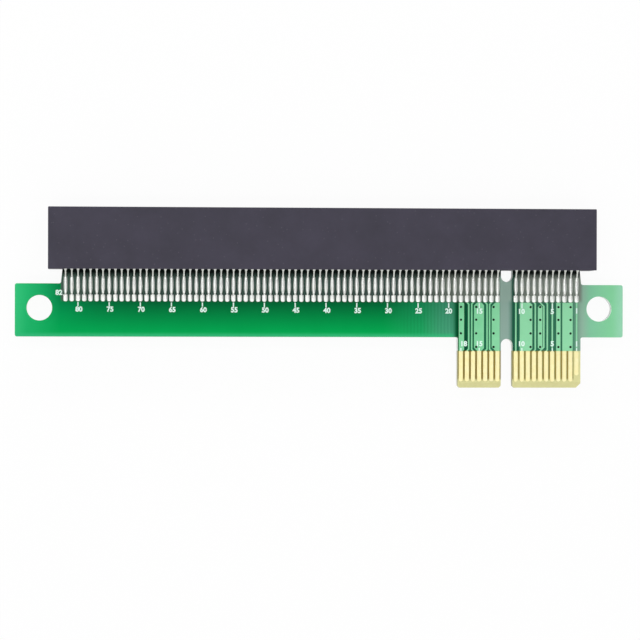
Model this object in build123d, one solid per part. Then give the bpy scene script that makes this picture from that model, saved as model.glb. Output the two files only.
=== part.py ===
from build123d import *
import os

# A riser card that adapts a short bus edge to a full-length card slot. It lies on the slot's side
# as it would on a bench: X runs along the card, Y from the gold fingers to the slot's mouth, and Z
# is up through the board. The origin is under the middle of the whole card. Side A, with pin 1 at
# the right, faces up, and side B faces down. Lengths are in millimetres.

SIDE_A, SIDE_B = 1, -1
SIDE_NAMES = {SIDE_A: "side_a", SIDE_B: "side_b"}

# Pins, the same on both sides of the board. Pin 1 is at the right, and the key lies after pin 11.
pin_pitch = 1.0
slot_pin_count = 82
edge_pin_count = 18
pin_count_before_key = 11
key_step = 3.0            # between the centre lines of the two pins beside the key
lane_groups = ((1, 11), (12, 18), (19, 32), (33, 49), (50, 82))

# Board outline, from the gold fingers up to the slot
board_length = 98.7
slot_shift = 0.25         # the row of slot pins is this far right of the board's middle
tongue_drop = 8.2         # how far the fingered tongue hangs below the bar
bar_height = 8.55         # height of the bar and its two end tabs
shoulder_rise = 2.35      # from the tabs' top edge to the slot's underside
pin_margin = 0.65         # a standard edge's board beyond the centre line of its end pin
tongue_margin = 0.5       # the same at the tongue's left end, which is trimmed closer
shoulder_margin = 0.75    # the same where the tabs start, above which the board narrows
neck_margin = 0.5         # to this at the slot's underside
notch_width = 1.9
edge_notch_depth = 7.95
slot_notch_depth = 1.9
tab_radius = 0.35
inner_radius = 0.3
entry_chamfer = 0.7       # the tongue's corner at pin 1
tongue_chamfer = 0.3
hole_radius = 2.05
hole_inset = 3.92         # from the tab's end and from its top edge to the hole's centre

# Board layers
laminate_thickness = 1.5
mask_thickness = 0.05     # the green coat on both faces, which stops where the gold fingers start
bevel_length = 0.9        # the tongue's edge is ground to a wedge on both faces
bevel_depth = 0.33
foil_thickness = 0.04     # coated traces and pours stand this far above the coat around them
plating_thickness = 0.06  # gold fingers on the bare laminate

# Gold fingers
finger_width = 0.7
finger_length = 5.0
finger_setback = 1.0      # from the tongue's edge to a full finger
short_finger_step = 1.0   # a presence-detect finger stops this much earlier
finger_chamfer = 0.2
short_fingers = {SIDE_A: 1, SIDE_B: 17}

# Coated copper between the pads and the fingers. A trace moves sideways on its way by the length
# beside its pin. A pour covers a first and last pin, and grows to the right and to the left.
trace_width = 0.24
traces = {
    SIDE_A: {1: 0, 5: 0, 6: 0.18, 7: 0.6, 8: 0.2, 11: 0, 13: -0.3, 14: 0.28, 16: -0.23, 17: 0.28},
    SIDE_B: {5: 0, 6: 0, 9: 0, 11: 0, 12: 0, 14: -0.21, 15: 0.21, 17: 0},
}
pours = {
    SIDE_A: [(2, 3, 0, 0), (4, 4, 0, 0), (9, 10, 0.36, 0), (12, 12, 0, 0.6), (15, 15, 0.42, 0.5),
             (18, 18, 0.18, 0)],
    SIDE_B: [(1, 3, 0, 0), (4, 4, 0, 0), (7, 7, 0, 0), (8, 8, 0, 0.5), (10, 10, 0, 0),
             (13, 13, 0.36, 0), (16, 16, 0.4, 0), (18, 18, 0, 0)],
}
island_pin = 7            # side A has a ground island here, which this pin's trace goes round
island_width = 0.74
island_chamfer = 0.25
island_pad_gap = 0.5
island_finger_gap = 0.3

# Slot housing
housing_length = 88.55
housing_height = 9.9
housing_thickness = 7.5
housing_chamfer = 0.1
card_slot_width = 1.75
card_clearance = 0.1      # between a card's edges and the slot's end walls and key
slot_floor = 2.2
mouth_depth = 0.6
mouth_flare = 0.4
chamber_width = 0.6
chamber_depth = 2.3       # from the middle plane to a chamber's outer wall

# Contacts, bent from flat strip
strip_thickness = 0.2
strip_width = 0.44
tail_length = 2.85        # the part that lies on its pad
heel_gap = 1.2            # from the slot's underside to the tail's heel
knee_height = 0.5         # above the slot's underside, where the strip turns towards the card
knee_offset = 2.0         # from the middle plane
crown_height = 7.6        # where the strip presses on the card
crown_gap = 0.5           # from the middle plane to the crown's inner face
tip_height = 9.1
tip_offset = 1.3

# Solder on the pads
pad_width = 0.7
solder_film = 0.05
toe_length = 1.2          # solder beyond the tail's tip
toe_height = 0.16
pad_reach = 1.05          # from the slot's underside to the pad's upper end

# Worked-out places
card_height = tongue_drop + bar_height + shoulder_rise + housing_height
y_edge = -card_height / 2
y_bar = y_edge + tongue_drop
y_tab = y_bar + bar_height
y_slot = y_tab + shoulder_rise
y_fingers = y_edge + finger_setback
y_mask = y_fingers + finger_length
y_tip = y_slot - heel_gap - tail_length
y_toe = y_tip - toe_length
z_middle = housing_thickness / 2
z_core = laminate_thickness / 2
z_face = z_core + mask_thickness
z_pad = z_face + solder_film
pin_field = (slot_pin_count - 2) * pin_pitch + key_step
x_key = slot_shift + pin_field / 2 - (pin_count_before_key - 1) * pin_pitch - key_step / 2


def pin_x(pin):
    """Centre line of a pin, counted from the right."""
    if pin <= pin_count_before_key:
        return x_key + key_step / 2 + (pin_count_before_key - pin) * pin_pitch
    return x_key - key_step / 2 - (pin - pin_count_before_key - 1) * pin_pitch


x_right = pin_x(1) + pin_margin
x_left = pin_x(slot_pin_count) - pin_margin
x_tongue = pin_x(edge_pin_count) - tongue_margin


def sheet(face, side, low, high):
    """A flat layer between two heights above the middle plane, on side A or side B."""
    return Pos(0, 0, z_middle + min(side * low, side * high)) * extrude(face, high - low)


def bar(profile, side, x, width):
    """A straight bar centred on x, with a profile of (y, height above the middle plane)."""
    points = [(y, z_middle + side * height) for y, height in profile]
    start = Plane(origin=(x - width / 2, 0, 0), x_dir=(0, 1, 0), z_dir=(1, 0, 0))
    return extrude(start * make_face(Polyline(*points, close=True)), width)


def band(points, width):
    """Both edges of a band of one width that follows a run of points, with mitred bends."""
    runs = [(Vector(*b) - Vector(*a)).normalized() for a, b in zip(points, points[1:])]
    left, right = [], []
    for point, before, after in zip(points, runs[:1] + runs, runs + runs[-1:]):
        mitre = Vector(-(before.Y + after.Y), before.X + after.X).normalized()
        reach = mitre * (width / 2 / mitre.dot(Vector(-after.Y, after.X)))
        left.append((point[0] + reach.X, point[1] + reach.Y))
        right.append((point[0] - reach.X, point[1] - reach.Y))
    return left, right


def corners(face, *places):
    """The corners of a face that are nearest to the given places."""
    return [min(face.vertices(), key=lambda v: (Vector(v) - Vector(*p)).length) for p in places]


# Board

def notch(y_open, depth):
    """A round-ended notch on the key's centre line, cut upwards or downwards from the edge."""
    towards = 1 if depth > 0 else -1
    y_round = y_open + depth - towards * notch_width / 2
    straight = Pos(x_key, (y_open + y_round) / 2) * Rectangle(notch_width, abs(y_round - y_open))
    return straight + Pos(x_key, y_round) * Circle(notch_width / 2)


def board_outline():
    end = board_length / 2
    points = [
        (-end, y_bar), (x_tongue, y_bar), (x_tongue, y_edge), (x_right, y_edge),
        (x_right, y_bar), (end, y_bar), (end, y_tab), (pin_x(1) + shoulder_margin, y_tab),
        (pin_x(1) + neck_margin, y_slot), (pin_x(slot_pin_count) - neck_margin, y_slot),
        (pin_x(slot_pin_count) - shoulder_margin, y_tab), (-end, y_tab),
    ]
    face = make_face(Polyline(*points, close=True))
    face -= notch(y_edge, edge_notch_depth) + notch(y_slot, -slot_notch_depth)
    tabs = [(x, y) for x in (-end, end) for y in (y_bar, y_tab)]
    face = fillet(corners(face, *tabs), tab_radius)
    inside = [points[1], points[4], points[7], points[10]]
    face = fillet(corners(face, *inside), inner_radius)
    face = chamfer(corners(face, (x_right, y_edge)), entry_chamfer)
    lips = [(x_key - notch_width / 2, y_edge), (x_key + notch_width / 2, y_edge)]
    face = chamfer(corners(face, (x_tongue, y_edge), *lips), tongue_chamfer)
    for x in (-end + hole_inset, end - hole_inset):
        face -= Pos(x, y_tab - hole_inset) * Circle(hole_radius)
    return face


def circuit_board():
    """The laminate with its coat, which leaves the tongue's end bare, and the ground wedge."""
    board = sheet(board_outline(), SIDE_A, -z_face, z_face)
    bare = [(y_edge, z_core), (y_mask, z_core), (y_mask, z_face), (y_edge, z_face)]
    wedge = [(y_edge, z_core - bevel_depth), (y_edge + bevel_length, z_core), (y_edge, z_core)]
    for side in SIDE_NAMES:
        for profile in (bare, wedge):
            board -= bar(profile, side, (x_tongue + x_right) / 2, x_right - x_tongue)
    return board


# Copper

def gold_finger(pin, side):
    low = y_fingers + (short_finger_step if pin == short_fingers[side] else 0)
    face = Pos(pin_x(pin), (low + y_mask) / 2) * Rectangle(finger_width, y_mask - low)
    ends = [(pin_x(pin) + half, low) for half in (-finger_width / 2, finger_width / 2)]
    face = chamfer(corners(face, *ends), finger_chamfer)
    return sheet(face, side, z_core, z_core + plating_thickness)


def trace(pin, shift):
    """A trace from a pad to its finger, which runs shift to the side between them."""
    start, end = (pin_x(pin), y_toe), (pin_x(pin), y_mask)
    points = [start, end]
    if shift:
        middle = start[0] + shift
        points = [start, (middle, y_toe - abs(shift)), (middle, y_mask + abs(shift)), end]
    left, right = band(points, trace_width)
    return make_face(Polyline(*left, *reversed(right), close=True))


def pour(first, last, grow_right, grow_left):
    """A copper area over some pins, which leaves the pads at their width and then widens."""
    right = pin_x(first) + finger_width / 2 + grow_right
    left = pin_x(last) - finger_width / 2 - grow_left
    face = Pos((left + right) / 2, (y_toe + y_mask) / 2) * Rectangle(right - left, y_toe - y_mask)
    for x, growth in ((right, grow_right), (left, grow_left)):
        if growth:
            face = chamfer(corners(face, (x, y_toe), (x, y_mask)), growth)
    return face


def island():
    top, bottom = y_toe - island_pad_gap, y_mask + island_finger_gap
    place = Pos(pin_x(island_pin), (top + bottom) / 2)
    face = place * Rectangle(island_width, top - bottom)
    return chamfer(face.vertices(), island_chamfer)


def coated_copper(side):
    between = Pos(0, (y_toe + y_mask) / 2) * Rectangle(board_length, y_toe - y_mask)
    faces = [trace(pin, shift) & between for pin, shift in traces[side].items()]
    faces += [pour(*extent) for extent in pours[side]]
    if side == SIDE_A:
        faces.append(island())
    return [sheet(face, side, z_face, z_face + foil_thickness) for face in faces]


# Slot housing

def slot_housing():
    """A moulded bar with the keyed card slot, and a chamber through it for each contact."""
    y_centre = y_slot + housing_height / 2
    block = Box(housing_length, housing_height, housing_thickness)
    body = Pos(slot_shift, y_centre, z_middle) * block
    body = chamfer(body.faces().sort_by(Axis.Y)[-1].edges(), housing_chamfer)

    key = notch_width - 2 * card_clearance
    stretches = [
        (x_left - card_clearance, x_key - key / 2),
        (x_key + key / 2, x_right + card_clearance),
    ]
    for left, right in stretches:
        length = right - left
        origin = ((left + right) / 2, y_slot + slot_floor, z_middle)
        floor = Plane(origin=origin, x_dir=(1, 0, 0), z_dir=(0, 1, 0))
        throat = floor.offset(housing_height - slot_floor - mouth_depth)
        mouth = throat.offset(mouth_depth)
        opening = Rectangle(length, card_slot_width)
        flared = Rectangle(length + 2 * mouth_flare, card_slot_width + 2 * mouth_flare)
        body -= extrude(floor * opening, housing_height - slot_floor)
        body -= loft([throat * opening, mouth * flared])

    wall = card_slot_width / 2
    depth = chamber_depth - wall
    chamber = Box(chamber_width, housing_height, depth)
    places = [
        Pos(pin_x(pin), y_centre, z_middle + side * (wall + depth / 2))
        for pin in range(1, slot_pin_count + 1)
        for side in SIDE_NAMES
    ]
    body -= [place * chamber for place in places]
    return body


# Contacts and solder

def contact(pin, side):
    """A tail on its pad, a knee inside the housing, a crown against the card and a thinned tip."""
    z_tail = z_pad + strip_thickness / 2
    centre_line = [
        (y_tip, z_tail),
        (y_slot - heel_gap, z_tail),
        (y_slot + knee_height, knee_offset),
        (y_slot + crown_height, crown_gap + strip_thickness / 2),
        (y_slot + tip_height, tip_offset),
    ]
    left, right = band(centre_line, strip_thickness)
    profile = left[:-1] + centre_line[-1:] + right[-2::-1]
    return bar(profile, side, pin_x(pin), strip_width)


def solder_joint(pin, side):
    """The film under a contact's tail and the fillet in front of its tip."""
    profile = [
        (y_toe, z_face), (y_slot - pad_reach, z_face), (y_slot - pad_reach, z_pad),
        (y_tip, z_pad), (y_tip, z_face + toe_height),
    ]
    return bar(profile, side, pin_x(pin), pad_width)


def main():
    nodes = {"circuit_board": circuit_board(), "slot_housing": slot_housing()}
    for side, name in SIDE_NAMES.items():
        nodes[f"coated_copper_{name}"] = Compound(coated_copper(side))
        fingers = [gold_finger(pin, side) for pin in range(1, edge_pin_count + 1)]
        nodes[f"gold_fingers_{name}"] = Compound(fingers)
        for first, last in lane_groups:
            pins = range(first, last + 1)
            group = f"{name}_{first:02d}_{last:02d}"
            nodes[f"contacts_{group}"] = Compound([contact(pin, side) for pin in pins])
            nodes[f"solder_{group}"] = Compound([solder_joint(pin, side) for pin in pins])
    os.makedirs("parts", exist_ok=True)
    for name, shape in nodes.items():
        export_step(shape, f"parts/{name}.step")


main()
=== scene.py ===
# %% [markdown]
# # A riser card on a pale table
# The card is a narrow green circuit board. A moulded slot housing sits along its upper edge, 82 bent
# contacts a side are soldered to it, and a short tongue with gold fingers hangs below. The solids
# come from the CAD model and stay where they are. Blender adds what a solid can't show: the coat's
# colours, the solder's shine, the rounded fingers and the printed pin numbers.

# %% Load the solids
import bpy
import math
from mathutils import Matrix, Vector


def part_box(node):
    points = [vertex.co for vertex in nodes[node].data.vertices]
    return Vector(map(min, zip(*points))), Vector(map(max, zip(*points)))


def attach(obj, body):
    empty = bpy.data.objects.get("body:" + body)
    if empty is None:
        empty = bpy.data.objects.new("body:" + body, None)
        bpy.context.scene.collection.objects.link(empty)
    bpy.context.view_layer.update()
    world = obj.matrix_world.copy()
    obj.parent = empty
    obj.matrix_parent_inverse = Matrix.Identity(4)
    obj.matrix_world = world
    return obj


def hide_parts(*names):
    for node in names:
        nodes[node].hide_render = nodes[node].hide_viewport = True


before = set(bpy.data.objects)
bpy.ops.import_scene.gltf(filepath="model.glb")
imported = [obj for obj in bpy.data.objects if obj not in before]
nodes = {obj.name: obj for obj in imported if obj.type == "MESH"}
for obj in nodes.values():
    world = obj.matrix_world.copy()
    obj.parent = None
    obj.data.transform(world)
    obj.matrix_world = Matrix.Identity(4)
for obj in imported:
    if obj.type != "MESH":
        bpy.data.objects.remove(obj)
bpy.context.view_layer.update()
MM = 0.001
print("CAD nodes:", len(nodes))


# %% [markdown]
# ## Places to work from
# Every piece that Blender adds is placed from the boxes of the solids, so nothing has to be fitted
# by eye. Heights are measured from the board's middle plane, and they are the same on both sides.

# %% Measure the board, the housing and the gold fingers
def box_mm(node):
    """The lowest and the highest corner of a solid, in millimetres."""
    low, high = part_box(node)
    return low / MM, high / MM


board_low, board_high = box_mm("circuit_board")
fingers_low, fingers_high = box_mm("gold_fingers_side_a")
_, copper_high = box_mm("coated_copper_side_a")
y_slot = board_high.y
y_mask = fingers_high.y
y_toe = copper_high.y
z_middle = (board_low.z + board_high.z) / 2
coat_height = board_high.z - z_middle
foil_height = copper_high.z - z_middle
print(f"slot edge {y_slot:.3f}, coat edge {y_mask:.3f}, pad toes {y_toe:.3f}, coat {coat_height:.3f} mm")

# %% Count the pins from the right, with a wider step across the key
SIDES = {"side_a": 1, "side_b": -1}
SLOT_PINS = range(1, 83)
EDGE_PINS = range(1, 19)
pin_pitch = 1.0
key_gap = 2.0
last_pin_before_key = 11
finger_width = 0.7
x_first_pin = fingers_high.x - finger_width / 2


def pin_x(pin):
    """The centre line of a pin."""
    return x_first_pin - (pin - 1) * pin_pitch - key_gap * (pin > last_pin_before_key)


x_key = (pin_x(last_pin_before_key) + pin_x(last_pin_before_key + 1)) / 2
print(f"pin 1 at {pin_x(1):.2f}, key at {x_key:.2f}, pin 82 at {pin_x(82):.2f} mm")

# %% [markdown]
# ## Camera
# The card was photographed nearly from straight above with a long lens, from a place a little left
# of its middle. So the lens is long too, and near the right-hand end the walls that face left show
# as thin lines.

# %% Place the camera
def facing(place, target, upward):
    """The rotation of a camera or lamp that looks at a target, with one direction kept upright."""
    back = (Vector(place) - Vector(target)).normalized()
    right = Vector(upward).cross(back).normalized()
    return Matrix((right, back.cross(right), back)).transposed().to_euler()


camera_place = Vector((-36.3, -4.1, 454.55)) * MM
camera_target = Vector((-0.22, -3.55, 4.55)) * MM
camera_upright = (-0.0021, 1, 0)
camera = bpy.data.cameras.new("camera")
camera.sensor_width = 36.0
camera.lens = 156.9
camera.clip_start = 0.01
camera_object = bpy.data.objects.new("camera", camera)
camera_object.location = camera_place
camera_object.rotation_euler = facing(camera_place, camera_target, camera_upright)
bpy.context.scene.collection.objects.link(camera_object)
bpy.context.scene.camera = camera_object
bpy.context.scene.view_settings.view_transform = "Standard"
print(f"camera {(camera_target - camera_place).length / MM:.0f} mm from the card")


# %% [markdown]
# ## Colours and nodes
# Colours are written as they look on a screen, as sRGB hex values, and one function turns them into
# the linear values that the renderer wants. One more function adds a node to a material. Patterns
# are given by their real size in millimetres.

# %% Helpers for every material
def linear(hex_colour):
    """The linear colour of an sRGB hex value."""
    parts = [int(hex_colour[i:i + 2], 16) / 255 for i in (1, 3, 5)]
    return [p / 12.92 if p <= 0.04045 else ((p + 0.055) / 1.055) ** 2.4 for p in parts] + [1.0]


def add(tree, kind, inputs=None, **settings):
    """Adds a node with its settings, and fills or links its inputs by name or number."""
    node = tree.nodes.new("ShaderNode" + kind)
    for name, value in settings.items():
        setattr(node, name, value)
    for socket, value in (inputs or {}).items():
        if isinstance(value, bpy.types.NodeSocket):
            tree.links.new(value, node.inputs[socket])
        else:
            node.inputs[socket].default_value = value
    return node


def new_material(name, **surface):
    """A material with one shader, and the shader's sockets set by name."""
    material = bpy.data.materials.new(name)
    material.use_nodes = True
    shader = material.node_tree.nodes["Principled BSDF"]
    for socket, value in surface.items():
        shader.inputs[socket.replace("_", " ")].default_value = value
    return material.node_tree, shader, material


def per_mm(size):
    """The scale of a pattern whose features are this many millimetres apart."""
    return 1 / (size * MM)


def bands_per_mm(pitch):
    """The scale of a wave pattern, whose bands are pi / 10 apart at a scale of one."""
    return math.pi / 10 * per_mm(pitch)


print("helpers ready")

# %% [markdown]
# ## Solder mask over glass-fibre laminate
# The real board is glass cloth in epoxy with copper inside, under a thin green lacquer that is
# printed on and baked, so it is glossy. Over the inner copper the green is deep. Next to the pads
# it is darker with painted shade of the housing, which fades down to the bar's free edge. Where
# there is only laminate, the green is paler and greyer, with painted light that comes through it:
# at the end tabs, along the bar's lower edge and in the strip above the key notch. The gaps between
# the pads are dull, and nearly black close to the housing, where a painted shadow of the housing
# lies. The lamps are even, so all of this is painted: the colour comes from ramps along the card,
# mixed in bands across it.

# %% Build a ramp along the card
tree, mask_shader, mask_material = new_material(
    "baked_green_solder_mask", IOR=1.5, Specular_IOR_Level=0.5,
)
place = add(tree, "TexCoord").outputs["Object"]
axes = add(tree, "SeparateXYZ", {0: place})
x_low, x_high = board_low.x, board_high.x
along = add(
    tree, "MapRange", {"Value": axes.outputs["X"], "From Min": x_low * MM, "From Max": x_high * MM},
)


def ramp_along(stops):
    """The colour along the card, from stops with a place in millimetres and a colour."""
    ramp = add(tree, "ValToRGB", {0: along.outputs[0]})
    ramp.color_ramp.elements.remove(ramp.color_ramp.elements[1])
    for number, (x, hex_colour) in enumerate(stops):
        share = (x - x_low) / (x_high - x_low)
        stop = ramp.color_ramp.elements[0] if number == 0 else ramp.color_ramp.elements.new(share)
        stop.color = linear(hex_colour)
    return ramp.outputs["Color"]


# From x 21.7 on, both ramps run over the tongue: dark gaps, the grey strip, dark gaps, the right tab.
# Right of the key the greens lighten with painted haze of reflected light, and the right tab's outer
# green is painted light that comes through the laminate.
tongue_stops = (
    (21.7, "#0c6a40"), (22.3, "#003a1c"), (23.2, "#00442a"), (24.4, "#1e6446"), (28.9, "#2c7254"),
    (29.2, "#90aca0"), (30.5, "#90aca0"), (30.9, "#6c9888"), (31.25, "#185640"), (32.4, "#2c6a50"),
    (40.8, "#38765a"), (41.2, "#4c8a6e"), (42.6, "#92b6a2"), (44.0, "#84c9a2"), (47.6, "#86d4a0"),
    (48.9, "#98d8b4"),
)
# The upper ramp lies next to the pads and carries the painted shade of the housing.
upper_stops = (
    (-49.4, "#36c47c"), (-47.4, "#26ba70"), (-44.4, "#14a660"), (-42.0, "#008a4c"), (-36.0, "#00723e"),
    (-28.0, "#006536"), (10.0, "#006536"), (16.3, "#148a54"), (19.6, "#38916a"), (21.5, "#40906e"),
    *tongue_stops,
)
lower_stops = (
    (-49.4, "#34c078"), (-47.4, "#1cb066"), (-42.0, "#00ac54"), (10.0, "#00af54"), (16.3, "#1eae63"),
    (19.6, "#45a77a"), (21.5, "#4ca680"), *tongue_stops,
)
pad_gap_stops = (
    (-42.0, "#607c6e"), (-40.0, "#465c52"), (-36.0, "#40524a"), (0.0, "#3c5048"), (12.0, "#465550"),
    (17.0, "#4e5a52"), (20.0, "#6c756c"), (28.9, "#6c756c"), (29.2, "#94aea2"), (30.9, "#94aea2"),
    (31.2, "#1a4a3a"), (32.6, "#747c74"), (42.4, "#7c857c"),
)
upper_colour = ramp_along(upper_stops)
lower_colour = ramp_along(lower_stops)
pad_gap_colour = ramp_along(pad_gap_stops)
print("ramp stops:", len(upper_stops), len(lower_stops), len(pad_gap_stops))

# %% Add the bands across the card
def share_across(y_start, y_end, x_start, x_end):
    """A share that rises from y_start to y_end, and falls off from x_start to x_end."""
    shares = [
        add(
            tree, "MapRange", {"Value": axes.outputs[axis], "From Min": start * MM, "From Max": end * MM},
            interpolation_type="SMOOTHSTEP",
        ).outputs[0]
        for axis, start, end in (("Y", y_start, y_end), ("X", x_end, x_start))
    ]
    return add(tree, "Math", {0: shares[0], 1: shares[1]}, operation="MULTIPLY").outputs[0]


bar_depth = 10.9
edge_band_height = 0.9
y_bar = y_slot - bar_depth
tongue_fade, right_tab_fade = (21.0, 22.0), (42.2, 42.9)
in_pads = share_across(y_toe - 0.2, y_toe + 0.6, *right_tab_fade)
in_shade = share_across(y_slot - 1.25, y_slot - 0.35, *right_tab_fade)
in_bar_edge = share_across(y_bar + edge_band_height, y_bar, *tongue_fade)
# Painted shade of the housing: the green is darkest at the pads and lightens down to the bar's edge.
housing_shade_fade = add(
    tree, "MapRange", {"Value": axes.outputs["Y"], "From Min": y_toe * MM, "From Max": y_bar * MM},
)
mixed = add(
    tree, "Mix", {0: housing_shade_fade.outputs[0], 6: upper_colour, 7: lower_colour}, data_type="RGBA",
)
# The bar's lower edge is paler: there is no inner copper, and painted light comes through the laminate.
mixed = add(
    tree, "Mix", {0: in_bar_edge, 6: mixed.outputs[2], 7: linear("#36b87a")}, data_type="RGBA",
)
x_left_tab, tab_fade = -42.0, 0.1
past_tab = add(
    tree, "MapRange", {
        "Value": axes.outputs["X"],
        "From Min": (x_left_tab - tab_fade) * MM, "From Max": (x_left_tab + tab_fade) * MM,
    },
)
# Over the pad gaps, and then a near-black painted shadow of the housing next to the slot's edge.
for band, colour in ((in_pads, pad_gap_colour), (in_shade, linear("#081410"))):
    share = add(tree, "Math", {0: band, 1: past_tab.outputs[0]}, operation="MULTIPLY")
    mixed = add(tree, "Mix", {0: share.outputs[0], 6: mixed.outputs[2], 7: colour}, data_type="RGBA")
print(f"bar's lower edge at {y_bar:.2f} mm")

# %% Streak the bar where its inner copper ends
streak_pitch, streak_strength = 0.55, 0.16
x_streaks_start, x_streaks_full, x_bar_end = 11.0, 16.0, 21.6
near_tongue = share_across(y_bar, y_bar + edge_band_height, x_streaks_full, x_streaks_start)
on_bar = add(tree, "Math", {0: axes.outputs["X"], 1: x_bar_end * MM}, operation="LESS_THAN")
streak = add(
    tree, "TexWave",
    {"Vector": place, "Scale": bands_per_mm(streak_pitch), "Distortion": 0.6, "Detail": 1.0},
    bands_direction="X",
).outputs["Fac"]
for factor in (near_tongue, on_bar.outputs[0], streak_strength):
    streak = add(tree, "Math", {0: streak, 1: factor}, operation="MULTIPLY").outputs[0]
mixed = add(tree, "Mix", {0: streak, 6: mixed.outputs[2], 7: linear("#00301c")}, data_type="RGBA")
mask_colour = mixed.outputs[2]
print(f"streaks {streak_pitch} mm apart")

# %% Bare laminate at the tongue's end, and pale fibre on every cut edge, with painted light where coated
# A face is a cut edge where the upright share of its normal is under a half.
flat_share = 0.5
coat_edge = add(tree, "Math", {0: axes.outputs["Y"], 1: y_mask * MM}, operation="LESS_THAN")
normal = add(tree, "SeparateXYZ", {0: add(tree, "NewGeometry").outputs["Normal"]})
upright = add(tree, "Math", {0: normal.outputs["Z"]}, operation="ABSOLUTE")
cut_edge = add(tree, "Math", {0: upright.outputs[0], 1: flat_share}, operation="LESS_THAN")
bare = add(tree, "Math", {0: coat_edge.outputs[0], 1: cut_edge.outputs[0]}, operation="MAXIMUM")
resin = add(tree, "TexNoise", {"Vector": place, "Scale": per_mm(0.5), "Detail": 3.0})
laminate = add(
    tree, "Mix", {0: resin.outputs["Fac"], 6: linear("#d6d290"), 7: linear("#e0dca0")}, data_type="RGBA",
)
print("cut edges found")

# %% Paint shade on the laminate between the fingers, but not below the two short ones
beside_pin_1 = (pin_x(1) - 0.6, pin_x(1) - 0.4)
shade_between_fingers = share_across(fingers_low.y + 0.1, fingers_low.y + 0.6, *beside_pin_1)
at_17 = add(
    tree, "Math", {0: axes.outputs["X"], 1: pin_x(17) * MM, 2: pin_pitch / 2 * MM}, operation="COMPARE",
)
upper_side = add(tree, "Math", {0: axes.outputs["Z"], 1: z_middle * MM}, operation="GREATER_THAN")
under_17 = add(tree, "Math", {0: at_17.outputs[0], 1: upper_side.outputs[0]}, operation="GREATER_THAN")
shade_between_fingers = add(
    tree, "Math", {0: shade_between_fingers, 1: under_17.outputs[0]}, operation="SUBTRACT", use_clamp=True,
).outputs[0]
past_key = add(tree, "Math", {0: axes.outputs["X"], 1: x_key * MM}, operation="GREATER_THAN")
# The olive tone between the fingers is painted shade, a little lighter right of the key.
painted_gap_shade = add(
    tree, "Mix", {0: past_key.outputs[0], 6: linear("#84721a"), 7: linear("#8f8230")}, data_type="RGBA",
)
laminate = add(
    tree, "Mix", {0: shade_between_fingers, 6: laminate.outputs[2], 7: painted_gap_shade.outputs[2]}, data_type="RGBA",
)
# Cut edges beside the coat are near white: painted light that comes through the laminate.
fibre = add(
    tree, "Mix", {0: coat_edge.outputs[0], 6: linear("#f2f8f4"), 7: linear("#b4b48c")}, data_type="RGBA",
)
uncoated = add(
    tree, "Mix", {0: cut_edge.outputs[0], 6: laminate.outputs[2], 7: fibre.outputs[2]}, data_type="RGBA",
)
board_colour = add(
    tree, "Mix", {0: bare.outputs[0], 6: mask_colour, 7: uncoated.outputs[2]}, data_type="RGBA",
)
cloud = add(tree, "TexNoise", {"Vector": place, "Scale": per_mm(4.0), "Detail": 4.0})
cloud_level = add(tree, "MapRange", {"Value": cloud.outputs["Fac"], "To Min": 0.95, "To Max": 1.05})
tinted = add(
    tree, "Mix", {0: 1.0, 6: board_colour.outputs[2], 7: cloud_level.outputs[0]},
    data_type="RGBA", blend_type="MULTIPLY",
)
tree.links.new(tinted.outputs[2], mask_shader.inputs["Base Color"])
print("bare end and cut edges mixed in")

# %% Let the cloth show through the gloss
# The threads of heavy laminate cloth are about 0.8 mm apart, and the coat hides most of their relief.
cloth_pitch, cloth_relief = 0.829, 0.0015
coat_roughness, bare_roughness = 0.12, 0.5
ribs = [
    add(
        tree, "TexWave", {"Vector": place, "Scale": bands_per_mm(cloth_pitch), "Distortion": 1.2},
        bands_direction=direction,
    ).outputs["Fac"]
    for direction in "XY"
]
cloth = add(tree, "Math", {0: ribs[0], 1: 0.4, 2: ribs[1]}, operation="MULTIPLY_ADD")
relief = add(tree, "Bump", {"Height": cloth.outputs[0], "Distance": cloth_relief * MM, "Strength": 1.0})
tree.links.new(relief.outputs[0], mask_shader.inputs["Normal"])
rough = add(tree, "Mix", {0: bare.outputs[0], 2: coat_roughness, 3: bare_roughness}, data_type="FLOAT")
tree.links.new(rough.outputs[0], mask_shader.inputs["Roughness"])
nodes["circuit_board"].data.materials.clear()
nodes["circuit_board"].data.materials.append(mask_material)
print("board material nodes:", len(tree.nodes))

# %% [markdown]
# ## Copper under the mask
# Traces and pours are etched copper foil with the same lacquer over it. The bright metal below
# throws light back through the green, so they look much paler than the rest. Right of the key notch
# they are paler still with painted haze of reflected light. The foil's grain is some hundredths of
# a millimetre wide and is drawn ten times coarser, so that it shows.

# %% Paint the coated copper
tree, shader, copper_material = new_material(
    "solder_mask_over_copper", Roughness=0.2, IOR=1.5, Specular_IOR_Level=0.5,
)
place = add(tree, "TexCoord").outputs["Object"]
x_left_tone, x_right_tone = 26.0, 34.0
foil_axes = add(tree, "SeparateXYZ", {0: place})
across_tongue = add(
    tree, "MapRange",
    {"Value": foil_axes.outputs["X"], "From Min": x_left_tone * MM, "From Max": x_right_tone * MM},
)
cloud = add(tree, "TexNoise", {"Vector": place, "Scale": per_mm(1.2), "Detail": 4.0})
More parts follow.
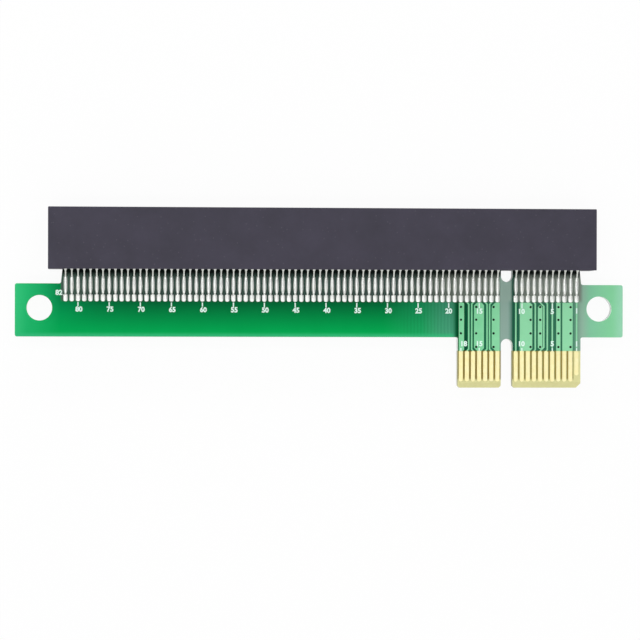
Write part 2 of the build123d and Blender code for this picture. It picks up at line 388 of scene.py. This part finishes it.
# The right-hand tone carries painted haze of reflected light.
left_tone, right_tone = [
    add(tree, "Mix", {0: cloud.outputs["Fac"], 6: linear(dark), 7: linear(light)}, data_type="RGBA")
    for dark, light in (("#7cd29a", "#8adca8"), ("#8cd8a6", "#98e0b0"))
]
tone = add(
    tree, "Mix", {0: across_tongue.outputs[0], 6: left_tone.outputs[2], 7: right_tone.outputs[2]},
    data_type="RGBA",
)
tree.links.new(tone.outputs[2], shader.inputs["Base Color"])
grain = add(tree, "TexNoise", {"Vector": place, "Scale": per_mm(0.25), "Detail": 3.0})
relief = add(tree, "Bump", {"Height": grain.outputs["Fac"], "Distance": 0.004 * MM, "Strength": 0.5})
tree.links.new(relief.outputs[0], shader.inputs["Normal"])
for name in SIDES:
    nodes["coated_copper_" + name].data.materials.clear()
    nodes["coated_copper_" + name].data.materials.append(copper_material)
print("coated copper painted on", len(SIDES), "sides")

# %% [markdown]
# ## Moulded housing
# The slot housing is a glass-filled thermoplastic, injection moulded in a lightly etched tool. It
# is near black with a violet cast, and its surface scatters light softly, with faint flow marks and
# a few pale specks of glass. The tool's texture is finer than a tenth of a millimetre and is drawn
# a little coarser, so that it shows.

# %% Paint the housing
tree, shader, housing_material = new_material(
    "moulded_glass_filled_plastic", Roughness=0.6, IOR=1.5, Specular_IOR_Level=0.4,
)
place = add(tree, "TexCoord").outputs["Object"]
flow = add(tree, "TexNoise", {"Vector": place, "Scale": per_mm(6.0), "Detail": 5.0, "Roughness": 0.6})
flow_level = add(tree, "MapRange", {"Value": flow.outputs["Fac"], "From Min": 0.3, "From Max": 0.7})
tone = add(
    tree, "Mix", {0: flow_level.outputs[0], 6: linear("#302d3b"), 7: linear("#393545")}, data_type="RGBA",
)
specks = add(tree, "TexVoronoi", {"Vector": place, "Scale": per_mm(0.9)})
speck = add(tree, "MapRange", {"Value": specks.outputs["Distance"], "From Min": 0.14, "From Max": 0.05})
speck_tone = add(
    tree, "Mix", {0: speck.outputs[0], 6: tone.outputs[2], 7: linear("#474350")}, data_type="RGBA",
)
tree.links.new(speck_tone.outputs[2], shader.inputs["Base Color"])
grain = add(tree, "TexNoise", {"Vector": place, "Scale": per_mm(0.16), "Detail": 2.0})
relief = add(tree, "Bump", {"Height": grain.outputs["Fac"], "Distance": 0.012 * MM, "Strength": 0.6})
tree.links.new(relief.outputs[0], shader.inputs["Normal"])
nodes["slot_housing"].data.materials.clear()
nodes["slot_housing"].data.materials.append(housing_material)
print("housing painted")

# %% [markdown]
# ## Metals
# The contacts are copper-alloy strip with a tin plating that was rolled and drawn smooth, so their
# narrow faces mirror the room. The solder is a tin alloy that froze from a melt with a fine grain,
# so it is whiter and softer. The fingers are copper and nickel under a thin hard gold, which is
# satin because the foil below is rough.

# %% Paint the tin, the solder and the gold
def satin_metal(name, dark, light, patch, low_roughness, high_roughness, relief_depth):
    """A metal whose colour and roughness drift over patches of the given size in millimetres."""
    tree, shader, material = new_material(name, Metallic=1.0)
    place = add(tree, "TexCoord").outputs["Object"]
    drift = add(tree, "TexNoise", {"Vector": place, "Scale": per_mm(patch), "Detail": 4.0})
    spread = add(tree, "MapRange", {"Value": drift.outputs["Fac"], "From Min": 0.3, "From Max": 0.7})
    tone = add(
        tree, "Mix", {0: spread.outputs[0], 6: linear(dark), 7: linear(light)}, data_type="RGBA",
    )
    tree.links.new(tone.outputs[2], shader.inputs["Base Color"])
    rough = add(
        tree, "MapRange",
        {"Value": spread.outputs[0], "To Min": high_roughness, "To Max": low_roughness},
    )
    tree.links.new(rough.outputs[0], shader.inputs["Roughness"])
    relief = add(
        tree, "Bump", {"Height": drift.outputs["Fac"], "Distance": relief_depth * MM, "Strength": 0.6},
    )
    tree.links.new(relief.outputs[0], shader.inputs["Normal"])
    return material


tin_material = satin_metal(
    "satin_tin_plating", "#d0d2cc", "#dfe1db", patch=0.5,
    low_roughness=0.2, high_roughness=0.28, relief_depth=0.001,
)
solder_material = satin_metal(
    "reflowed_solder", "#eff2ed", "#fafbf8", patch=0.6,
    low_roughness=0.36, high_roughness=0.42, relief_depth=0.001,
)
gold_material = satin_metal(
    "hard_gold_plating", "#fbf0b0", "#fff8c4", patch=0.8,
    low_roughness=0.36, high_roughness=0.42, relief_depth=0.002,
)
print("metals ready")


# %% [markdown]
# ## Shells
# Contacts, solder and fingers are each one shape repeated many times. The shape is a row of rings,
# skinned into a closed shell, and a whole side of them becomes one object.

# %% Make shells from rings, and pieces from shells
def skin(rings):
    """A closed shell over a row of rings, with a face at each end."""
    count = len(rings[0])
    points = [point for ring in rings for point in ring]
    faces = [
        (a * count + i, a * count + (i + 1) % count, (a + 1) * count + (i + 1) % count, (a + 1) * count + i)
        for a in range(len(rings) - 1)
        for i in range(count)
    ]
    faces.append(tuple(range(count)))
    faces.append(tuple(reversed(range(len(points) - count, len(points)))))
    return points, faces


def make_piece(name, side, shells, material, sharp_angle=40):
    """One object from shells whose points are (x, y, height from the middle plane) in millimetres."""
    points, faces = [], []
    for shell_points, shell_faces in shells:
        first = len(points)
        points += [(x * MM, y * MM, (z_middle + side * height) * MM) for x, y, height in shell_points]
        faces += [tuple(first + i for i in face)[::side] for face in shell_faces]
    mesh = bpy.data.meshes.new(name)
    mesh.from_pydata(points, [], faces)
    mesh.materials.append(material)
    mesh.polygons.foreach_set("use_smooth", [True] * len(mesh.polygons))
    mesh.set_sharp_from_angle(angle=math.radians(sharp_angle))
    piece = bpy.data.objects.new(name, mesh)
    bpy.context.scene.collection.objects.link(piece)
    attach(piece, "root")
    return piece


print("shell helpers ready")

# %% [markdown]
# ## Contacts
# Each contact is punched from strip and bent: a tail that lies on its pad, a knee inside the
# housing, a crown that presses on the card and a tip that turns away. The strip has a wide shoulder
# where it leaves the housing, a narrow neck, and a blade that is soldered. Its line is a run of
# straight stretches with each corner blended by a parabola, which is short to write. Places along
# the strip are counted from the slot's edge of the board.

# %% Give the strip its line and its widths
strip_half_thickness = 0.1
film_thickness = 0.05
pad_height = coat_height + film_thickness
tail_height = pad_height + strip_half_thickness
bend_reach = 0.4
y_tail_end, y_rise, y_knee, y_crown, y_tip = -4.0, -1.2, 0.5, 7.6, 9.1
bend_points = ((y_tail_end, tail_height), (y_rise, tail_height), (y_knee, 2.0), (y_crown, 0.6), (y_tip, 1.3))
strip_widths = (
    (y_tail_end, 0.1), (-3.6, 0.22), (-3.0, 0.3), (-2.2, 0.3), (-1.7, 0.28), (-1.25, 0.26), (-0.5, 0.24),
    (-0.26, 0.26), (-0.16, 0.34), (-0.11, 0.44), (-0.03, 0.46), (0.02, 0.44), (y_tip, 0.36),
)


def strip_line(y):
    """Height of the strip's centre line at a place along it."""
    (y_start, height), *rest = bend_points
    slope = (rest[0][1] - height) / (rest[0][0] - y_start)
    height += slope * (y - y_start)
    for (y_a, z_a), (y_b, z_b) in zip(rest, rest[1:]):
        change = (z_b - z_a) / (y_b - y_a) - slope
        past = min(max(y - y_a + bend_reach, 0), 2 * bend_reach)
        height += change * (past ** 2 / (4 * bend_reach) + max(y - y_a - bend_reach, 0))
        slope += change
    return height


def strip_width(y):
    """Width of the strip at a place along it."""
    for (y_a, width_a), (y_b, width_b) in zip(strip_widths, strip_widths[1:]):
        if y <= y_b:
            return width_a + (width_b - width_a) * (y - y_a) / (y_b - y_a)
    return strip_widths[-1][1]


print(f"knee at {strip_line(y_knee):.2f}, crown at {strip_line(y_crown):.2f} mm from the middle plane")


# %% Bend one contact and repeat it at every pin
def contact_shell(x):
    """A strip with eased edges that follows the line, at one pin."""
    bends = [y + part * bend_reach for y, _ in bend_points[1:-1] for part in (-1, -0.5, 0, 0.5, 1)]
    stations = sorted(bends + [y for y, _ in strip_widths])
    ease, near = 0.03, 0.01
    rings = []
    for y in stations:
        rise = Vector((2 * near, strip_line(y + near) - strip_line(y - near))).normalized()
        half, thick = strip_width(y) / 2, strip_half_thickness
        outline = (
            (half, ease - thick), (half, thick - ease), (half - ease, thick), (ease - half, thick),
            (-half, thick - ease), (-half, ease - thick), (ease - half, -thick), (half - ease, -thick),
        )
        centre = strip_line(y)
        rings.append([
            (x + across, y_slot + y - through * rise.y, centre + through * rise.x)
            for across, through in outline
        ])
    return skin(rings)


PIN_GROUPS = ("01_11", "12_18", "19_32", "33_49", "50_82")
for name, side in SIDES.items():
    contacts = make_piece(
        "contacts_" + name, side, [contact_shell(pin_x(pin)) for pin in SLOT_PINS], tin_material,
    )
    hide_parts(*[f"contacts_{name}_{group}" for group in PIN_GROUPS])
    print(contacts.name, len(contacts.data.polygons), "faces")


# %% [markdown]
# ## Solder
# Paste is printed on the pad, the tail is set in it, and the oven melts it. It draws up along the
# blade into a spindle that is wide in the middle, and leaves a bright drop on the pad's toe, with a
# dark waist between the two. The film on the pad is a plate, and the spindle and the drop are
# rows of rings in section.

# %% Shape a plate with round corners
corner_steps = 4


def plate_outline(x, y_low, y_high, half_width, low_radius, high_radius, height, inset=0.0):
    """The ring of a plate's edge at one height, drawn in by the inset."""
    corners = (
        (x + half_width, y_high, high_radius, 0), (x - half_width, y_high, high_radius, 90),
        (x - half_width, y_low, low_radius, 180), (x + half_width, y_low, low_radius, 270),
    )
    ring = []
    for x_corner, y_corner, radius, start in corners:
        x_turn = x_corner - radius * (1 if start in (0, 270) else -1)
        y_turn = y_corner - radius * (1 if start in (0, 90) else -1)
        for step in range(corner_steps + 1):
            angle = math.radians(start + 90 * step / corner_steps)
            ring.append((
                x_turn + (radius - inset) * math.cos(angle),
                y_turn + (radius - inset) * math.sin(angle),
                height,
            ))
    return ring


def plate_shell(x, y_low, y_high, half_width, low_radius, high_radius, bottom, top, ease):
    """A plate with upright sides and an upper edge that is eased in two steps."""
    shape = (x, y_low, y_high, half_width, low_radius, high_radius)
    first_step = 0.3 * ease
    return skin([
        plate_outline(*shape, bottom),
        plate_outline(*shape, top - ease),
        plate_outline(*shape, top - first_step, first_step),
        plate_outline(*shape, top, ease),
    ])


print("plates ready")


# %% Melt the spindle and the toe drop onto each pad
def ridge_shell(x, base, sections):
    """A ridge along Y. Each section gives its place, its half-width and its crown height."""
    # The fourth power below gives a broad crown and steep flanks, as wetted solder has.
    across = (1, 0.94, 0.75, 0.45, 0, -0.45, -0.75, -0.94, -1)
    foot_depth = 0.01
    rings = []
    for y, half, crown in sections:
        arch = [(x + half * part, y_slot + y, base + crown * (1 - part ** 4)) for part in across]
        foot = [(x + side * half, y_slot + y, base - foot_depth) for side in (-1, 1)]
        rings.append(arch + foot)
    return skin(rings)


spindle = (
    (-1.14, 0.2, 0.2), (-1.2, 0.26, 0.27), (-1.45, 0.3, 0.3), (-2.0, 0.33, 0.31), (-2.6, 0.35, 0.31),
    (-3.1, 0.34, 0.3), (-3.45, 0.3, 0.3), (-3.72, 0.24, 0.29), (-3.88, 0.19, 0.27), (-3.95, 0.14, 0.15),
    (-3.99, 0.1, 0.03),
)
toe_drop = (
    (-4.1, 0.28, 0.01), (-4.13, 0.34, 0.075), (-4.3, 0.37, 0.09), (-4.6, 0.375, 0.095),
    (-4.9, 0.37, 0.09), (-5.05, 0.345, 0.085), (-5.14, 0.28, 0.07), (-5.2, 0.18, 0.04), (-5.22, 0.12, 0.01),
)
film_half_width, film_ease = 0.14, 0.03
film_span = (y_toe + 0.1, y_slot + y_rise)
film_round = (film_half_width,) * 3
for name, side in SIDES.items():
    shells = []
    for pin in SLOT_PINS:
        x = pin_x(pin)
        shells.append(plate_shell(x, *film_span, *film_round, coat_height, pad_height, film_ease))
        shells.append(ridge_shell(x, coat_height, spindle))
        shells.append(ridge_shell(x, coat_height, toe_drop))
    solder = make_piece("solder_" + name, side, shells, solder_material, 60)
    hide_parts(*[f"solder_{name}_{group}" for group in PIN_GROUPS])
    print(solder.name, len(solder.data.polygons), "faces")

# %% [markdown]
# ## Gold fingers
# The fingers are etched with the traces, so their corners are round: fully at the entry end, and
# only a little where a wide copper pour runs into them. Pin 1 on one side and pin 17 on the other
# stop early, so that they touch last when the card is pushed in.

# %% Round the fingers
SHORT_FINGERS = {"side_a": 1, "side_b": 17}
TRACE_PINS = {
    "side_a": (1, 5, 6, 7, 8, 11, 13, 14, 16, 17),
    "side_b": (5, 6, 9, 11, 12, 14, 15, 17),
}
short_step = 1.0
gold_thickness, gold_ease = 0.06, 0.04
entry_radius, trace_radius, pour_radius = 0.33, 0.3, 0.1
gold_top = fingers_high.z - z_middle
for name, side in SIDES.items():
    shells = []
    for pin in EDGE_PINS:
        low = fingers_low.y + short_step * (pin == SHORT_FINGERS[name])
        inner_radius = trace_radius if pin in TRACE_PINS[name] else pour_radius
        shells.append(plate_shell(
            pin_x(pin), low, y_mask, finger_width / 2, entry_radius, inner_radius,
            gold_top - gold_thickness, gold_top, gold_ease,
        ))
    fingers = make_piece("gold_fingers_rounded_" + name, side, shells, gold_material, 60)
    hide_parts("gold_fingers_" + name)
    print(fingers.name, len(fingers.data.polygons), "faces")

# %% [markdown]
# ## Plated holes
# Rows of tiny plated holes join the pours on the two sides. Each is a low ring of coated copper
# with a dark middle, which is painted shade of the hole's depth. They are drawn as rings and discs
# on the copper, because a hole this small shows only as a dot.

# %% Set the rings and the painted shade in their middles
# The hole's middle is a disc of painted shade, not a hole.
tree, shader, hole_shade_material = new_material("painted_hole_shade", Roughness=0.5, Specular_IOR_Level=0.2)
place = add(tree, "TexCoord").outputs["Object"]
depth_noise = add(tree, "TexNoise", {"Vector": place, "Scale": per_mm(0.1)})
tone = add(
    tree, "Mix", {0: depth_noise.outputs["Fac"], 6: linear("#041a12"), 7: linear("#0a2a1e")},
    data_type="RGBA",
)
tree.links.new(tone.outputs[2], shader.inputs["Base Color"])
hole_columns = (22.75, 25.25, 28.1, 34.18, 35.75, 38.75, 40.75)
hole_rows = (-1.37, -3.45, -5.66, -7.87)
hidden_hole = (22.75, -7.87)


def disc_shell(x, y, section):
    """A turned shape on the foil, from pairs of radius and height, with sixteen sides."""
    turns = [math.tau * step / 16 for step in range(16)]
    return skin([
        [(x + r * math.cos(turn), y + r * math.sin(turn), foil_height + rise) for turn in turns]
        for r, rise in section
    ])


ring_section = ((0.28, -0.01), (0.26, 0.012), (0.2, 0.012))
middle_section = ((0.2, -0.01), (0.2, 0.013), (0.19, 0.014))
places = [(x, y) for x in hole_columns for y in hole_rows if (x, y) != hidden_hole]
for name, side in SIDES.items():
    rings = [disc_shell(x, y, ring_section) for x, y in places]
    middles = [disc_shell(x, y, middle_section) for x, y in places]
    make_piece("hole_rings_" + name, side, rings, copper_material)
    make_piece("hole_shade_discs_" + name, side, middles, hole_shade_material)
print("plated holes a side:", len(places))

# %% [markdown]
# ## Printed pin numbers
# The legend is white epoxy ink, printed through a screen: a number at every fifth pin and a short
# tick that points to its pad. The ink is thin, so a little of the green shows through it. The upper
# row runs down slightly to the right, and some numbers stand a little beside their pin.

# %% Mix the ink
tree, shader, ink_material = new_material("screen_printed_ink", Roughness=0.55, IOR=1.5)
place = add(tree, "TexCoord").outputs["Object"]
cover = add(tree, "TexNoise", {"Vector": place, "Scale": per_mm(0.25), "Detail": 3.0})
tone = add(
    tree, "Mix", {0: cover.outputs["Fac"], 6: linear("#d2f4e6"), 7: linear("#effff8")}, data_type="RGBA",
)
tree.links.new(tone.outputs[2], shader.inputs["Base Color"])
print("ink mixed")


# %% Draw a number as a thin slab
digit_height, stroke_swell, tick_half_width = 0.88, 0.045, 0.1


def number_shell(text, x, y, side, low, high):
    """The shell of a printed number, centred on a place and reading rightly from its own side."""
    curve = bpy.data.curves.new("number", "FONT")
    curve.body = text
    curve.align_x = "CENTER"
    curve.extrude = 0.5
    curve.offset = stroke_swell
    curve.resolution_u = 3
    holder = bpy.data.objects.new("number", curve)
    mesh = bpy.data.meshes.new_from_object(holder)
    points = [v.co.copy() for v in mesh.vertices]
    faces = [tuple(p.vertices) for p in mesh.polygons]
    bpy.data.objects.remove(holder)
    bpy.data.meshes.remove(mesh)
    bottom = min(p.y for p in points)
    scale = digit_height / (max(p.y for p in points) - bottom)
    y_bottom = y - digit_height / 2
    placed = [
        (x + side * p.x * scale, y_bottom + (p.y - bottom) * scale, high if p.z > 0 else low)
        for p in points
    ]
    return placed, [face[::side] for face in faces]


def tick_shell(x, y_low, y_high, low, high):
    """A printed tick as a thin bar."""
    x_left, x_right = x - tick_half_width, x + tick_half_width
    corners = ((x_right, y_low), (x_right, y_high), (x_left, y_high), (x_left, y_low))
    return skin([[(a, b, height) for a, b in corners] for height in (low, high)])


print("numbers and ticks ready")

# %% Print the numbers on both sides
ink_thickness = 0.012
ink_top = coat_height + ink_thickness
tongue_ink_top = foil_height + ink_thickness
upper_row, lower_row, row_slope = -1.98, -7.34, -0.003
tick_gap, y_upper_ticks, y_lower_ticks = 0.04, -0.77, -8.05
last_number_place = (pin_x(82) - 1.05, 0.8)
usual_shift = 0.15
upper_shifts = {25: 0.1, 20: 0.0, 15: 0.0, 10: -0.1, 5: 0.0}
lower_shifts = {18: 0.45, 10: -0.1}
for name, side in SIDES.items():
    shells = [number_shell("82", *last_number_place, side, coat_height, ink_top)]
    for pin in range(80, 0, -5):
        top = tongue_ink_top if pin in EDGE_PINS else ink_top
        x = pin_x(pin) + upper_shifts.get(pin, usual_shift)
        row = upper_row + row_slope * x
        tick_low = row + digit_height / 2 + tick_gap
        shells.append(number_shell(str(pin), x, row, side, coat_height, top))
        shells.append(tick_shell(pin_x(pin), tick_low, y_upper_ticks, coat_height, top))
    for pin in (18, 15, 10, 5, 1):
        x = pin_x(pin) + lower_shifts.get(pin, 0.0)
        shells.append(number_shell(str(pin), x, lower_row, side, coat_height, tongue_ink_top))
        shells.append(tick_shell(pin_x(pin), y_mask, y_lower_ticks, coat_height, tongue_ink_top))
    shells.append(number_shell("1", pin_x(1), upper_row, side, coat_height, tongue_ink_top))
    legend = make_piece("pin_numbers_" + name, side, shells, ink_material)
    print(legend.name, len(legend.data.polygons), "faces")

# %% [markdown]
# ## Table, lamps and surroundings
# The photograph is a plain product picture: white all round and evenly lit. Here three strips hang
# nearly overhead, two behind the card and one in front, and a low lamp stands behind it. The glossy
# coat mirrors the dark ceiling between the strips, so the green stays deep, and they hang a little
# to the left, which keeps their haze off the right-hand end. The solder and the gold scatter more,
# so they catch the strips and the bright front side of the room.

# %% Lay the table
table_mesh = bpy.data.meshes.new("table")
reach = 2.0
table_top = -0.01 * MM
table_corners = [(reach * x, reach * y, table_top) for x, y in ((-1, -1), (1, -1), (1, 1), (-1, 1))]
table_mesh.from_pydata(table_corners, [], [(0, 1, 2, 3)])
table = bpy.data.objects.new("table", table_mesh)
bpy.context.scene.collection.objects.link(table)
tree, shader, table_material = new_material("white_table", Roughness=0.8, Specular_IOR_Level=0.1)
place = add(tree, "TexCoord").outputs["Object"]
paper = add(tree, "TexNoise", {"Vector": place, "Scale": per_mm(2.0), "Detail": 3.0})
tone = add(
    tree, "Mix", {0: paper.outputs["Fac"], 6: linear("#f4f4f4"), 7: linear("#f8f8f8")}, data_type="RGBA",
)
tree.links.new(tone.outputs[2], shader.inputs["Base Color"])
glow = add(tree, "Emission", {"Color": linear("#ffffff"), "Strength": 1.0})
rays = add(tree, "LightPath")
seen = add(
    tree, "Math", {0: rays.outputs["Is Camera Ray"], 1: rays.outputs["Is Glossy Ray"]}, operation="MAXIMUM",
)
# The rest of the table's look is its lit surface, which keeps the card's shadow.
white_share = 0.94
glow_share = add(tree, "Math", {0: seen.outputs[0], 1: white_share}, operation="MULTIPLY")
surface = add(tree, "MixShader", {0: glow_share.outputs[0], 1: shader.outputs[0], 2: glow.outputs[0]})
tree.links.new(surface.outputs[0], tree.nodes["Material Output"].inputs["Surface"])
table_mesh.materials.append(table_material)
print(f"table {2 * reach:.0f} m square, white share {white_share}")


# %% Hang the lamps
def lamp(name, place, target, upward, width, height, watts):
    """A soft rectangular lamp that faces the target."""
    light = bpy.data.lights.new(name, "AREA")
    light.shape = "RECTANGLE"
    light.size = width
    light.size_y = height
    light.energy = watts
    lamp_object = bpy.data.objects.new(name, light)
    lamp_object.location = place
    lamp_object.rotation_euler = facing(place, target, upward)
    bpy.context.scene.collection.objects.link(lamp_object)
    return lamp_object


lamp("overhead_strip", (-0.325, 0.12, 0.72), (-0.325, 0, 0), (0, 1, 0), 1.35, 0.06, 0.6)
lamp("key_strip", (-0.125, 0.27, 0.68), (-0.125, 0, 0), (0, 1, 0), 0.95, 0.12, 1.5)
lamp("front_strip", (-0.1, -0.18, 0.69), (-0.1, 0, 0), (0, 1, 0), 1.0, 0.1, 1.4)
lamp("low_back_lamp", (0.0, 0.80, 0.30), (0, 0, 0), (0, 0, 1), 1.3, 0.26, 3.6)
print("lamps: 4")

# %% Fade the surroundings from pale walls to a dark ceiling, with a bright side in front
world = bpy.data.worlds.new("room")
world.use_nodes = True
bpy.context.scene.world = world
tree = world.node_tree
wall_top, ceiling = 0.55, 0.75
front_start, front_full = -0.15, -0.45
direction = add(tree, "SeparateXYZ", {0: add(tree, "TexCoord").outputs["Generated"]})
height = add(
    tree, "MapRange", {"Value": direction.outputs["Z"], "From Min": wall_top, "From Max": ceiling},
    interpolation_type="SMOOTHSTEP",
)
front = add(
    tree, "MapRange", {"Value": direction.outputs["Y"], "From Min": front_start, "From Max": front_full},
    interpolation_type="SMOOTHSTEP",
)
upper_room = add(
    tree, "Mix", {0: height.outputs[0], 6: linear("#c0c0c0"), 7: linear("#181818")}, data_type="RGBA",
)
room = add(
    tree, "Mix", {0: front.outputs[0], 6: upper_room.outputs[2], 7: linear("#f0f0f0")}, data_type="RGBA",
)
tree.links.new(room.outputs[2], tree.nodes["Background"].inputs["Color"])
tree.nodes["Background"].inputs["Strength"].default_value = 1.0
print("surroundings ready")
